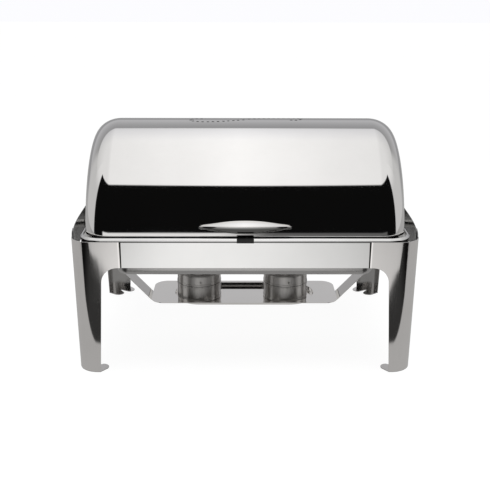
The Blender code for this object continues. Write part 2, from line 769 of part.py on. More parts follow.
clear_scene()
PARTS = new_collection("chafing_dish")
CUTTERS = new_collection("cutters", hidden=True)
PIVOT_BORE = cylinder_cutter("pivot_bore", BORE_RADIUS, 0.8, (0, 0, PIVOT_Z), TO_X)
make_legs()
make_side_panels()
make_rim_frame()
make_front_bumper()
make_pan_carrier()
make_hanger_strap()
make_fuel_shelf()
make_pans()
make_lid_shell()
make_handle()
make_lid_arms()
make_pivots()
make_burners()
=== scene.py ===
"""Looks of a rectangular roll-top chafing dish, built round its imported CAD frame.

Metres, +Z up, front towards -Y. Each piece of bent, drawn or turned steel is rebuilt here with
smooth bends and rounded edges inside its CAD box, and the small flat hardware keeps its CAD node.
"""

import json
import math

import bmesh
import bpy
from mathutils import Matrix, Vector

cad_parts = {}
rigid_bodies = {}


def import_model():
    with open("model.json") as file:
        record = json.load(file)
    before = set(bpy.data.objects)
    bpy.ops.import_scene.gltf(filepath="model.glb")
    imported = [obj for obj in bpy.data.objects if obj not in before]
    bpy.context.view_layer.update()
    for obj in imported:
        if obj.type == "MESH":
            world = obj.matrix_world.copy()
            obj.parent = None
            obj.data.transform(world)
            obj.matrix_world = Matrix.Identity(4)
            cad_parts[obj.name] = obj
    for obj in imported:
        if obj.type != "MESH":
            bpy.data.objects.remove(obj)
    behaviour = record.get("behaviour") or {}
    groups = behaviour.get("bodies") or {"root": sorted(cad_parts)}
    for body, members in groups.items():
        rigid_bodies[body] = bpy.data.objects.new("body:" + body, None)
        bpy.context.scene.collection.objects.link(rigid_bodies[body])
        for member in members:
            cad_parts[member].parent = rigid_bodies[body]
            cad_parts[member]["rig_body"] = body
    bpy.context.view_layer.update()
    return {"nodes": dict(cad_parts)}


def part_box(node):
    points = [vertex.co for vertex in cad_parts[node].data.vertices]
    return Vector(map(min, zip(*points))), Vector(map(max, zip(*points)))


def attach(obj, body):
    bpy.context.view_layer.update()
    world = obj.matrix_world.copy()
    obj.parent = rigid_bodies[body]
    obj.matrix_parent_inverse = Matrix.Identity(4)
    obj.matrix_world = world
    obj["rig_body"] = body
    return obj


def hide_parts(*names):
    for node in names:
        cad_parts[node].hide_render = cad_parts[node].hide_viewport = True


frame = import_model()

NODES = frame["nodes"]
SIDES = {"left": -1, "right": 1}
ENDS = {"front": -1, "rear": 1}

GAP = 0.0003
SHEET = 0.0012
THIN_SHEET = 0.0010
HALF_PI = math.pi / 2


def middle(node):
    low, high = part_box(node)
    return (low + high) / 2


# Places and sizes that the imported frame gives
LEG_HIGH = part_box("leg_rear_right")[1]
LEG_Y = LEG_HIGH.y
LEG_TOP = LEG_HIGH.z
PANEL_LOW, PANEL_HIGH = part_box("side_panel_right")
WING_BOTTOM = PANEL_LOW.z
PANEL_HALF_Y = PANEL_HIGH.y
RIM_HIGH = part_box("rim_frame")[1]
BEAD_TOP = RIM_HIGH.z
AXIS_Z = middle("pivot_bolt_right").z
LID_LOW, LID_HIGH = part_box("lid_shell")
LID_RADIUS = LID_HIGH.z - AXIS_Z
LID_HALF_X = LID_HIGH.x
LID_EDGE_Z = LID_LOW.z
STRAP_LOW, STRAP_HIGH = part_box("hanger_strap")
SHELF_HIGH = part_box("fuel_shelf")[1]
WATER_LOW, WATER_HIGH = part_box("water_pan")
FOOD_LOW, FOOD_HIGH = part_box("food_pan")
BUMPER_LOW, BUMPER_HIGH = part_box("front_bumper")

# Legs
LEG_X = 0.320
LEG_LEAN = 0.0034
LEG_CORNER = 0.038
LEG_WIDTH = 0.0435
WING_REACH = 0.092
WING_FILLET = 0.030
WING_ROOT = 0.0555
FOOT_THICKNESS = 0.0015
FOOT_LOBE = 0.0125
FOOT_LOBE_SET_BACK = 0.0205
FOOT_NOTCH = 0.020
FOOT_NOTCH_RUN = 0.006
TIP_BEND_RADIUS = 0.0062
TIP_BEND_WIDTH = 0.0034
WING_TIP = LEG_X - WING_REACH
SIDE_BULGE = 0.0134
SIDE_BULGE_POWER = 3.2

# Rim frame and its bead
BEAD_OUT = 0.0012
BEAD_IN = 0.0048
RIM_HALF_X = RIM_HIGH.x - BEAD_OUT
RIM_HALF_Y = RIM_HIGH.y - BEAD_OUT
RIM_CORNER = 0.042

# Lid
LID_FILLET_X = 0.0475
LID_FILLET_R = 0.036
LID_FRONT_Y = -0.2083
SCREW_HOLE = 0.0023
RIVET_HOLE = 0.0019

# Handle
HANDLE_HALF_X = 0.0805
HANDLE_END_Y = -0.2102
HANDLE_REACH = 0.0178
HANDLE_END_Z = 0.2810
HANDLE_RISE = 0.0050
HANDLE_END_SECTION = [
    (0.0040, 0.0016),
    (0.0010, 0.0040),
    (-0.0028, 0.0034),
    (-0.0044, 0.0012),
    (-0.0042, -0.0020),
    (-0.0024, -0.0040),
    (0.0000, -0.0044),
    (0.0028, -0.0034),
    (0.0042, -0.0012),
]
HANDLE_MID_SECTION = [
    (0.0080, 0.0028),
    (-0.0020, 0.0070),
    (-0.0120, 0.0086),
    (-0.0130, 0.0055),
    (-0.0095, -0.0050),
    (-0.0060, -0.0125),
    (-0.0020, -0.0138),
    (0.0036, -0.0096),
    (0.0072, -0.0030),
]
HANDLE_SCREW_X = 0.0781
SCREW_HEAD = 0.0022

# Fuel shelf, its strap and the burners
STRAP_THICKNESS = 0.0015
STRAP_KNEE_Z = 0.158
STRAP_FOOT_X = 0.195
SHELF_CORNER = 0.028
RECESS_HALF_X = 0.146
RECESS_HALF_Y = 0.055
RECESS_FLOOR = 0.068
BURNER_RADIUS = 0.0463
CUP_TOP = 0.1025
COVER_TOP = 0.1252
FLAME_OPENING = 0.032
SNUFFER_RADIUS = 0.0365
RIVET_OFFSET = 0.0385
CAN_VENT = 0.0017
CAN_VENT_Z = 0.112


# ---------------------------------------------------------------- materials

# Painted shade: dark lines where sheets meet, in creases and where the legs meet the floor; none
# above the ceiling
SHADE_LINE_BLUR = 0.0003
SHADE_LINE_CEILING = BEAD_TOP - 0.0062
SHADE_LINE_FADE = 0.0004
SHADE_LINE_COLOR = (0.020, 0.018, 0.016)
RING_ANISOTROPY = 0.95
QUARTER_TURN = 0.25


class Graph:
    """Builds one node tree with short calls."""

    def __init__(self, tree):
        self.tree = tree
        self.tree.nodes.clear()

    def node(self, kind, settings=None, **inputs):
        made = self.tree.nodes.new(kind)
        for key, value in (settings or {}).items():
            setattr(made, key, value)
        for key, value in inputs.items():
            socket = made.inputs[int(key[1:]) if key[1:].isdigit() else key.replace("_", " ")]
            if isinstance(value, bpy.types.NodeSocket):
                self.tree.links.new(value, socket)
            else:
                socket.default_value = value
        return made

    def math(self, operation, a, b=0.0, c=0.0, clamp=False):
        settings = {"operation": operation, "use_clamp": clamp}
        return self.node("ShaderNodeMath", settings, i0=a, i1=b, i2=c).outputs[0]

    def spread(self, value, low, high, to_low, to_high, smooth=False):
        settings = {"interpolation_type": "SMOOTHSTEP" if smooth else "LINEAR"}
        made = self.node("ShaderNodeMapRange", settings, Value=value)
        for name, number in zip(
            ("From Min", "From Max", "To Min", "To Max"), (low, high, to_low, to_high)
        ):
            made.inputs[name].default_value = number
        return made.outputs["Result"]

    def blend(self, share, a, b):
        """A mix of two numbers."""
        made = self.node("ShaderNodeMix", {"data_type": "FLOAT"}, Factor=share)
        for index, value in ((2, a), (3, b)):
            if isinstance(value, bpy.types.NodeSocket):
                self.tree.links.new(value, made.inputs[index])
            else:
                made.inputs[index].default_value = value
        return made.outputs[0]

    def tinted(self, share, dark, light):
        """A mix of two colours."""
        made = self.node("ShaderNodeMix", {"data_type": "RGBA"}, Factor=share)
        made.inputs[6].default_value = (*dark, 1.0)
        made.inputs[7].default_value = (*light, 1.0)
        return made.outputs[2]

    def darkened(self, color, share, shade):
        """The colour, giving way to the shade where the share is high."""
        made = self.node("ShaderNodeMix", {"data_type": "RGBA"}, Factor=share)
        self.tree.links.new(color, made.inputs[6])
        made.inputs[7].default_value = (*shade, 1.0)
        return made.outputs[2]

    def noise(self, vector, scale, detail=2.0, roughness=0.5):
        made = self.node(
            "ShaderNodeTexNoise", Vector=vector, Scale=scale, Detail=detail, Roughness=roughness
        )
        return made.outputs["Fac"]

    def stretched(self, vector, scale):
        return self.node("ShaderNodeMapping", Vector=vector, Scale=scale).outputs["Vector"]


def steel(
    name, dark, light, roughness, grain, grain_scale, grain_depth, wave_depth, stains,
    shade_lines=(), rings=False, painted_underside_shade=1.0,
):
    """Stainless sheet: fine grain along one way, slow waves in the sheet, smudges and small stains.

    The grain scales the coordinates, so it runs along the way with the smallest number. Each shade
    line is an axis and the two distances from the middle between which painted shade darkens the
    metal. Rings are the fine turning marks of a round can; the underside colour is painted shade on
    faces that point down.
    """
    material = bpy.data.materials.new(name)
    material.use_nodes = True
    g = Graph(material.node_tree)
    at = g.node("ShaderNodeTexCoord").outputs["Object"]
    lines = g.noise(g.stretched(at, grain), grain_scale, 4.0, 0.65)
    smudge = g.noise(at, 9.0, 4.0, 0.6)
    speck = g.noise(at, 150.0, 3.0, 0.7)
    wave = g.noise(at, 5.0, 1.0, 0.4)
    spots = g.spread(speck, 0.66, 0.80, 0.0, stains, True)
    tone = g.math("ADD", g.spread(smudge, 0.25, 0.75, 0.0, 0.7), g.math("MULTIPLY", lines, 0.3))
    tone = g.math("SUBTRACT", tone, spots, clamp=True)
    color = g.tinted(tone, dark, light)
    # Painted shade: each band below the ceiling is darkened to a near-black line
    if shade_lines:
        parts = g.node("ShaderNodeSeparateXYZ", Vector=at)
        for axis, start, end in shade_lines:
            along = g.math("ABSOLUTE", parts.outputs[axis])
            inside = g.math(
                "MULTIPLY",
                g.spread(along, start - SHADE_LINE_BLUR, start + SHADE_LINE_BLUR, 0.0, 1.0, True),
                g.spread(along, end - SHADE_LINE_BLUR, end + SHADE_LINE_BLUR, 1.0, 0.0, True),
            )
            below = g.spread(
                parts.outputs["Z"], SHADE_LINE_CEILING - SHADE_LINE_FADE, SHADE_LINE_CEILING, 1.0, 0.0, True
            )
            inside = g.math("MULTIPLY", inside, below)
            color = g.darkened(color, inside, SHADE_LINE_COLOR)
    # Painted shade: faces that point down are darkened towards the underside colour
    if painted_underside_shade < 1.0:
        normal = g.node("ShaderNodeNewGeometry").outputs["Normal"]
        facing = g.node("ShaderNodeSeparateXYZ", Vector=normal)
        shaded_below = g.spread(facing.outputs["Z"], -0.20, 0.15, 1.0, 0.0, True)
        color = g.darkened(color, shaded_below, (painted_underside_shade, painted_underside_shade, painted_underside_shade * 0.97))
    low, high = roughness
    rough = g.math(
        "ADD",
        g.spread(smudge, 0.3, 0.75, low, high),
        g.math("MULTIPLY", g.math("SUBTRACT", lines, 0.5), (high - low) * 0.8),
    )
    rough = g.math("ADD", rough, g.math("MULTIPLY", spots, 0.15), clamp=True)
    waves = g.node("ShaderNodeBump", Strength=1.0, Distance=wave_depth, Height=wave)
    fine = g.node(
        "ShaderNodeBump", Strength=1.0, Distance=grain_depth, Height=lines, Normal=waves.outputs[0]
    )
    shader = g.node(
        "ShaderNodeBsdfPrincipled",
        Base_Color=color,
        Metallic=1.0,
        Roughness=rough,
        Normal=fine.outputs[0],
    )
    if rings:
        around = g.node("ShaderNodeTangent", {"direction_type": "RADIAL", "axis": "Z"})
        g.tree.links.new(around.outputs[0], shader.inputs["Tangent"])
        shader.inputs["Anisotropic"].default_value = RING_ANISOTROPY
        shader.inputs["Anisotropic Rotation"].default_value = QUARTER_TURN
    g.node("ShaderNodeOutputMaterial", Surface=shader.outputs[0])
    return material


def moulded(name, dark, light, roughness, texture_scale, texture_depth):
    """Moulded plastic with a fine surface texture, handling marks and scuffs."""
    material = bpy.data.materials.new(name)
    material.use_nodes = True
    g = Graph(material.node_tree)
    at = g.node("ShaderNodeTexCoord").outputs["Object"]
    skin = g.noise(at, texture_scale, 3.0, 0.6)
    smudge = g.noise(at, 60.0, 4.0, 0.6)
    scratches = g.noise(g.stretched(at, (1.0, 6.0, 6.0)), 120.0, 5.0, 0.7)
    scuffs = g.spread(scratches, 0.62, 0.78, 0.0, 1.0)
    low, high = roughness
    rough = g.math(
        "ADD", g.spread(smudge, 0.3, 0.7, low, high), g.math("MULTIPLY", scuffs, 0.12), clamp=True
    )
    bump = g.node("ShaderNodeBump", Strength=1.0, Distance=texture_depth, Height=skin)
    shader = g.node(
        "ShaderNodeBsdfPrincipled",
        Base_Color=g.tinted(g.blend(0.4, smudge, scuffs), dark, light),
        Roughness=rough,
        Specular_IOR_Level=0.25,
        Normal=bump.outputs[0],
    )
    g.node("ShaderNodeOutputMaterial", Surface=shader.outputs[0])
    return material


ALONG_X = (1.0, 40.0, 40.0)
ALONG_Z = (40.0, 40.0, 1.0)
AROUND_Z = (1.0, 1.0, 40.0)

MIRROR_LID = steel(
    "mirror_lid", (0.80, 0.79, 0.78), (0.86, 0.85, 0.84), (0.030, 0.060),
    ALONG_X, 14.0, 2e-7, 1.6e-4, 0.15,
)
MIRROR = steel(
    "mirror_sheet", (0.76, 0.757, 0.75), (0.84, 0.837, 0.83), (0.050, 0.110),
    ALONG_X, 14.0, 4e-7, 2.0e-4, 0.35,
)
# Painted shade: a dark line beside each leg flange's tip, and one in the crease under the bead
MIRROR_RIM = steel(
    "mirror_rim", (0.77, 0.767, 0.76), (0.85, 0.847, 0.84), (0.050, 0.110),
    ALONG_X, 14.0, 4e-7, 2.0e-4, 0.35,
    shade_lines=[("X", WING_TIP - 0.0026, WING_TIP + 0.0030), ("Z", BEAD_TOP - 0.0078, SHADE_LINE_CEILING)],
)
# Painted shade: a dark line along the bottom, where the leg meets the floor
MIRROR_LEG = steel(
    "mirror_leg", (0.80, 0.778, 0.763), (0.89, 0.87, 0.855), (0.060, 0.120),
    ALONG_Z, 14.0, 5e-7, 2.4e-4, 0.35,
    shade_lines=[("Z", -0.0010, 0.0007)],
)
SATIN = steel(
    "satin_sheet", (0.80, 0.795, 0.785), (0.90, 0.895, 0.885), (0.30, 0.42),
    ALONG_X, 30.0, 2.5e-6, 1.0e-4, 0.25,
)
# Partly real, partly painted shade: unpolished inner faces, darkened for the shade they stand in
DULL_SHADED = steel(
    "unpolished_shaded_inside", (0.34, 0.335, 0.33), (0.48, 0.47, 0.46), (0.16, 0.24),
    ALONG_Z, 20.0, 1e-6, 0.6e-4, 0.15,
)
# Painted shade: a near-black copy for inner faces deep in shade
DARK = steel(
    "shaded_inside", (0.10, 0.10, 0.10), (0.20, 0.198, 0.195), (0.16, 0.26),
    ALONG_Z, 20.0, 1e-6, 0.6e-4, 0.15,
)
# Painted shade on the grip's underside
GRIP = steel(
    "mirror_grip", (0.80, 0.79, 0.78), (0.88, 0.87, 0.86), (0.035, 0.070),
    ALONG_X, 20.0, 3e-7, 0.4e-4, 0.2,
    painted_underside_shade=0.16,
)
# Painted shade: near-black for the walls of holes and the lid's cut edge, which stand in shadow
HOLE_SHADE = steel(
    "painted_shade_edge", (0.020, 0.020, 0.020), (0.050, 0.050, 0.048), (0.45, 0.60),
    ALONG_Z, 60.0, 1e-6, 0.5e-4, 0.3,
)
# Partly real, partly painted light: polished steel with its colour raised near white to brighten
# the shelf and strap
SHELF_STEEL_LIT = steel(
    "shelf_sheet_lit", (0.93, 0.91, 0.885), (0.99, 0.97, 0.945), (0.040, 0.070),
    ALONG_X, 30.0, 1.5e-6, 0.6e-4, 0.25,
)
# Partly real, partly painted shade: satin pans, darkened for the shade under the lid and apron
PAN_STEEL_SHADED = steel(
    "pan_sheet_shaded", (0.42, 0.415, 0.41), (0.54, 0.53, 0.52), (0.20, 0.30),
    ALONG_X, 24.0, 1.5e-6, 1.0e-4, 0.25,
)
# Painted shade: a dark line in the gap between cup and cover
CAN_STEEL = steel(
    "can_sheet", (0.62, 0.605, 0.59), (0.84, 0.82, 0.80), (0.36, 0.42),
    AROUND_Z, 30.0, 1.5e-6, 0.1e-4, 0.5,
    shade_lines=[("Z", CUP_TOP - 0.0003, CUP_TOP + 0.0008)], rings=True,
)
FASTENER = steel(
    "fastener_steel", (0.55, 0.54, 0.52), (0.72, 0.71, 0.69), (0.20, 0.32),
    ALONG_Z, 60.0, 1.0e-6, 0.5e-4, 0.3,
)
BLACK_PLASTIC = moulded(
    "gloss_black", (0.004, 0.004, 0.004), (0.020, 0.019, 0.018), (0.10, 0.22), 900.0, 6e-6
)
NYLON = moulded("white_nylon", (0.66, 0.65, 0.60), (0.80, 0.79, 0.75), (0.42, 0.56), 700.0, 1.2e-5)


# ---------------------------------------------------------------- shapes


def arc(center, radius, start, end, steps):
    angles = [math.radians(start + (end - start) * i / steps) for i in range(steps + 1)]
    return [
        (center[0] + radius * math.cos(a), center[1] + radius * math.sin(a)) for a in angles
    ]


def rounded_rect(half_x, half_y, radius, steps=18):
    points = []
    for quadrant, (side_x, side_y) in enumerate([(1, 1), (-1, 1), (-1, -1), (1, -1)]):
        center = (side_x * (half_x - radius), side_y * (half_y - radius))
        points += arc(center, radius, 90 * quadrant, 90 * quadrant + 90, steps)
    return points


def level(points, z):
    return [(x, y, z) for x, y in points]


def rounded_profile(points, radii, steps=6):
    """The open line through these 2D points, with its inner points rounded."""
    line = [points[0]]
    for before, here, after, radius in zip(points, points[1:], points[2:], radii):
        p, q, r = Vector(before), Vector(here), Vector(after)
        a, b = (p - q).normalized(), (r - q).normalized()
        if radius <= 0 or a.dot(b) < -0.9999:
            line.append(here)
            continue
        half = math.acos(max(-1.0, min(1.0, a.dot(b)))) / 2
        trim = min(radius / math.tan(half), (p - q).length * 0.49, (r - q).length * 0.49)
        size = trim * math.tan(half)
        center = q + (a + b).normalized() * (size / math.sin(half))
        start, end = q + a * trim - center, q + b * trim - center
        turn = start.angle_signed(end)
        for i in range(steps + 1):
            angle = -turn * i / steps
            c, s = math.cos(angle), math.sin(angle)
            spot = (start.x * c - start.y * s, start.x * s + start.y * c)
            line.append((center.x + spot[0], center.y + spot[1]))
    line.append(points[-1])
    return line


def loft(rows, closed=True, caps=()):
    bm = bmesh.new()
    verts = [[bm.verts.new(point) for point in row] for row in rows]
    count = len(rows[0])
    for lower, upper in zip(verts, verts[1:]):
        for i in range(count if closed else count - 1):
            j = (i + 1) % count
            bm.faces.new((lower[i], lower[j], upper[j], upper[i]))
    for cap in caps:
        ring = verts[cap]
        bm.faces.new(ring if cap else ring[::-1])
    return bm


def place(name, mesh, material, body, stands_for=()):
    obj = bpy.data.objects.new(name, mesh)
    bpy.context.scene.collection.objects.link(obj)
    obj.data.materials.clear()
    obj.data.materials.append(material)
    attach(obj, body)
    if stands_for:
        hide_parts(*stands_for)
    return obj


def piece(
    name, bm, material, body, stands_for=(), thickness=0.0, edge=0.0, sharp=32.0, inside=None
):
    """A piece from a bmesh, with its sheet thickness, its rounded edges and the material of its
    inner faces, which carries painted shade where given.
    """
    mesh = bpy.data.meshes.new(name)
    if not thickness:
        bmesh.ops.recalc_face_normals(bm, faces=bm.faces)
    bm.to_mesh(mesh)
    bm.free()
    obj = place(name, mesh, material, body, stands_for)
    mesh.shade_smooth()
    if thickness:
        solid = obj.modifiers.new("thickness", "SOLIDIFY")
        solid.thickness = thickness
        solid.offset = -1.0
        solid.use_even_offset = True
        if inside:
            obj.data.materials.append(inside)
            solid.material_offset = 1
    if edge:
        add_edge(obj, edge, sharp)
    return obj


def add_edge(obj, width, sharp=32.0):
    bevel = obj.modifiers.new("edge", "BEVEL")
    bevel.width = width
    bevel.segments = 3
    bevel.limit_method = "ANGLE"
    bevel.angle_limit = math.radians(sharp)
    bevel.use_clamp_overlap = True
    bevel.harden_normals = False
    weighted = obj.modifiers.new("normals", "WEIGHTED_NORMAL")
    weighted.mode = "FACE_AREA"
    weighted.keep_sharp = True


def turned(profile, steps=64, closed=False):
    """A turned shape about Z from (radius, height) points."""
    rows = []
    for i in range(steps):
        angle = 2 * math.pi * i / steps
        rows.append([(r * math.cos(angle), r * math.sin(angle), z) for r, z in profile])
    bm = bmesh.new()
    verts = [[bm.verts.new(p) for p in row] for row in rows]
    count = len(profile)
    for i in range(steps):
        j = (i + 1) % steps
        for k in range(count if closed else count - 1):
            m = (k + 1) % count
            bm.faces.new((verts[i][k], verts[j][k], verts[j][m], verts[i][m]))
    bmesh.ops.remove_doubles(bm, verts=bm.verts, dist=1e-7)
    bmesh.ops.recalc_face_normals(bm, faces=bm.faces)
    return bm


def plate(outlines, thickness):
    """A flat plate about Z=0. The first outline is its edge, and the rest are its holes."""
    curve = bpy.data.curves.new("plate", "CURVE")
    curve.dimensions = "2D"
    curve.fill_mode = "BOTH"
    curve.extrude = thickness / 2
    for outline in outlines:
        spline = curve.splines.new("POLY")
        spline.points.add(len(outline) - 1)
        for point, (x, y) in zip(spline.points, outline):
            point.co = (x, y, 0.0, 1.0)
        spline.use_cyclic_u = True
    holder = bpy.data.objects.new("plate", curve)
    bpy.context.scene.collection.objects.link(holder)
    graph = bpy.context.evaluated_depsgraph_get()
    mesh = bpy.data.meshes.new_from_object(holder.evaluated_get(graph))
    bpy.data.objects.remove(holder, do_unlink=True)
    bm = bmesh.new()
    bm.from_mesh(mesh)
    bpy.data.meshes.remove(mesh)
    bmesh.ops.remove_doubles(bm, verts=bm.verts, dist=1e-7)
    return bm


def moved(bm, location, turn=None):
    matrix = Matrix.Translation(location)
    if turn is not None:
        matrix = matrix @ turn
    bmesh.ops.transform(bm, matrix=matrix, verts=bm.verts)
    return bm


def side_x(y):
    share = abs(y) / (LEG_Y - LEG_CORNER)
    return LEG_X + SIDE_BULGE * (1 - min(share, 1.0) ** SIDE_BULGE_POWER)


def leaned(x, y, z):
    inwards = LEG_LEAN * (1 - z / LEG_TOP)
    return (x - inwards, y - inwards, z)


def wing_stations(corner):
    """(distance from the corner's planes, lowest height) along a leg's flange, from its tip."""
    arc_start = WING_ROOT + WING_FILLET
    fillet = arc((0.0, WING_BOTTOM - WING_FILLET), WING_FILLET, 90, 0, 14)
    tip = corner - WING_REACH
    stations = [(tip + TIP_BEND_WIDTH * i / 8, WING_BOTTOM) for i in range(9)]
    stations += [(corner - arc_start + step, height) for step, height in fillet]
    last_x, last_z = stations[-1]
    for i in range(1, 9):
        # The edge runs down from the fillet to the foot, a little inwards
        share = i / 8
        place_x = last_x + (corner - LEG_WIDTH - last_x) * share
        stations.append((place_x, last_z * (1 - share)))
    return stations


def tucked(x):
    """How far the front and rear flanges bend inwards at their tips."""
    reach = TIP_BEND_WIDTH - (x - WING_TIP)
    if reach <= 0:
        return 0.0
    return TIP_BEND_RADIUS - math.sqrt(TIP_BEND_RADIUS**2 - reach**2)


def foot_outline():
    """The foot plate seen from above, in the quadrant of positive x and y."""
    edge = LEG_LEAN + SHEET * 0.8
    corner_x, corner_y = LEG_X - edge, LEG_Y - edge
    start = LEG_WIDTH - SHEET
    slant = math.degrees(math.asin(FOOT_LOBE / FOOT_LOBE_SET_BACK))
    notch_x, notch_y = corner_x - FOOT_NOTCH, corner_y - FOOT_NOTCH
    half_run = FOOT_NOTCH_RUN / 2
    outline = [(corner_x - start, corner_y)]
    lobe = (corner_x - start, corner_y - FOOT_LOBE_SET_BACK)
    outline += arc(lobe, FOOT_LOBE, 180 - slant, 270, 18)
    notch = [outline[-1], (notch_x - FOOT_NOTCH_RUN, notch_y - half_run), (notch_x, notch_y)]
    notch += [(notch_x - half_run, notch_y - FOOT_NOTCH_RUN)]
    lobe = (corner_x - FOOT_LOBE_SET_BACK, corner_y - start)
    second = arc(lobe, FOOT_LOBE, 180, 270 + slant, 18)
    outline += rounded_profile(notch + [second[0]], [0.004, 0.0035, 0.004], 6)[1:-1]
    outline += second
    outline.append((corner_x, corner_y - start))
    inner = LEG_CORNER - SHEET
    outline += arc((corner_x - inner, corner_y - inner), inner, 0, 90, 18)
    return outline


def make_legs():
    for end, end_sign in ENDS.items():
        for side, side_sign in SIDES.items():
            columns = [(x, LEG_Y - tucked(x), low) for x, low in wing_stations(LEG_X)]
            center = (LEG_X - LEG_CORNER, LEG_Y - LEG_CORNER)
            columns += [(x, y, 0.0) for x, y in arc(center, LEG_CORNER, 90, 0, 22)]
            columns += [(side_x(y), y, low) for y, low in reversed(wing_stations(LEG_Y))]
            top = [leaned(x, y, LEG_TOP) for x, y, low in columns]
            bottom = [leaned(x, y, low) for x, y, low in columns]
            rows = [[(side_sign * x, end_sign * y, z) for x, y, z in row] for row in (top, bottom)]
            if side_sign * end_sign < 0:
                rows = rows[::-1]
            name = f"leg_{end}_{side}"
            # The inner faces carry painted shade: the darker copy on the front legs, the lighter
            # one on the rear legs
            piece(
                name + "_sheet", loft(rows, closed=False), MIRROR_LEG, "stand",
                [name], SHEET, 0.0004, inside=DARK if end == "front" else DULL_SHADED,
            )
            outline = [(side_sign * x, end_sign * y) for x, y in foot_outline()]
            foot = moved(plate([outline], FOOT_THICKNESS), (0, 0, FOOT_THICKNESS / 2))
            piece(name + "_foot", foot, MIRROR_LEG, "stand", edge=0.0003)


def make_side_panels():
    steps = 48
    for side, sign in SIDES.items():
        rows = []
        for z in (LEG_TOP, WING_BOTTOM):
            row = []
            for i in range(steps + 1):
                y = PANEL_HALF_Y * (1 - 2 * i / steps)
                x = side_x(y) - SHEET - GAP - LEG_LEAN * (1 - z / LEG_TOP)
                row.append((sign * x, y, z))
            rows.append(row)
        # The inner face carries painted shade
        piece(
            f"side_sheet_{side}", loft(rows if sign > 0 else rows[::-1], closed=False), MIRROR,
            "stand", [f"side_panel_{side}"], THIN_SHEET, 0.00035, inside=DARK,
        )


def make_rim():
    bead = [
        (0.0, WING_BOTTOM),
        (0.0, BEAD_TOP - 0.0066),
        (-BEAD_OUT, BEAD_TOP - 0.0056),
        (-BEAD_OUT, BEAD_TOP - 0.0042),
        (0.0028, BEAD_TOP),
        (BEAD_IN, BEAD_TOP - 0.0012),
        (BEAD_IN, BEAD_TOP - 0.0055),
    ]
    bead = rounded_profile(bead, [0.0008, 0.0008, 0.0016, 0.0026, 0.0012], 7)
    rows = [
        level(rounded_rect(RIM_HALF_X - inset, RIM_HALF_Y - inset, RIM_CORNER - inset, 28), z)
        for inset, z in bead
    ]
    piece(
        "rim", loft(rows), MIRROR_RIM, "stand", ["rim_frame"],
        THIN_SHEET, 0.0003, 50.0,
    )


def make_bumper():
    """A clip over the bead: its back leg is shorter than its front leg."""
    wall, shorter = 0.0010, 0.0024
    corner, inner_corner = 0.0016, 0.0008
    front, back = BUMPER_LOW.y, BUMPER_HIGH.y
    low, top = BUMPER_LOW.z, BUMPER_HIGH.z
    outer = rounded_profile(
        [(front, low), (front, top), (back, top), (back, low + shorter)], [corner] * 2, 8
    )
    inner = rounded_profile(
        [
            (back - wall, low + shorter),
            (back - wall, top - wall),
            (front + wall, top - wall),
            (front + wall, low),
        ],
        [inner_corner] * 2,
        8,
    )
    body = plate([outer + inner], BUMPER_HIGH.x - BUMPER_LOW.x)
    turn = Matrix.Rotation(HALF_PI, 4, "Z") @ Matrix.Rotation(HALF_PI, 4, "X")
    piece(
        "bumper", moved(body, (0, 0, 0), turn), BLACK_PLASTIC, "stand",
        ["front_bumper"], edge=0.0004,
    )


def make_strap():
    """One long strip: down inside the side wall, slanting to the shelf, and up again."""
    half = STRAP_HIGH.y
    right = [
        (STRAP_FOOT_X, STRAP_LOW.z), (STRAP_HIGH.x, STRAP_KNEE_Z), (STRAP_HIGH.x, STRAP_HIGH.z)
    ]
    left = [(-x, z) for x, z in reversed(right)]
    line = rounded_profile(left + right, [0.006, 0.008, 0.008, 0.006], 10)
    rows = [[(x, y, z) for x, z in line] for y in (half, -half)]
    piece(
        "strap", loft(rows, closed=False), SHELF_STEEL_LIT, "stand", ["hanger_strap"],
        STRAP_THICKNESS, 0.0004,
    )


def make_shelf():
    top = SHELF_HIGH.z
    corner = RECESS_HALF_Y - 0.001
    spans = [(SHELF_HIGH.x, SHELF_HIGH.y, SHELF_CORNER, top)]
    lip = rounded_profile(
        [(-0.004, top), (0.0, top), (0.0, RECESS_FLOOR), (0.01, RECESS_FLOOR)], [0.0009, 0.0020], 8
    )
    for inset, z in lip:
        spans.append((RECESS_HALF_X - inset, RECESS_HALF_Y - inset, corner - inset, z))
    rows = [level(rounded_rect(x, y, r, 28), z) for x, y, r, z in spans]
    piece(
        "shelf", loft(rows, caps=(len(rows) - 1,)), SHELF_STEEL_LIT, "stand",
        ["fuel_shelf"], SHEET, 0.0004,
    )


def make_pans():
    """Drawn pans with a flat rim: (half length, half width, floor, rim) of the wall's top."""
    sizes = {
        "water_pan": (0.2515, 0.1490, WATER_LOW.z, WATER_HIGH.z, ["water_pan"]),
        "food_pan": (0.2490, 0.1465, FOOD_LOW.z, FOOD_HIGH.z, ["food_pan", "food_pan_rim"]),
    }
    corner = 0.024
    for node, (half_x, half_y, floor, rim, stands_for) in sizes.items():
        edge = WATER_HIGH.x - half_x
        rim -= THIN_SHEET
        line = [
            (edge - 0.0011, rim - 0.0010),
            (edge, rim - 0.0006),
            (edge, rim),
            (0.0, rim),
            (-0.0030, floor),
            (-0.03, floor),
        ]
        line = rounded_profile(line, [0.0003, 0.0006, 0.0022, 0.0120], 8)
        rows = []
        for grow, z in line:
            # The corners' radius grows and shrinks a little less than the outline does
            radius = corner + max(grow, -0.016) * (0.6 if grow < 0 else 0.57)
            rows.append(level(rounded_rect(half_x + grow, half_y + grow, radius, 18), z))
        piece(
            node + "_sheet", loft(rows[::-1], caps=(0,)), PAN_STEEL_SHADED, node,
            stands_for, THIN_SHEET, 0.0003, 50.0,
        )


VENT_RADIUS = 0.0028
VENT_PITCH = 0.0106
VENT_SHIFT = 0.0028
VENT_SPAN = 0.967


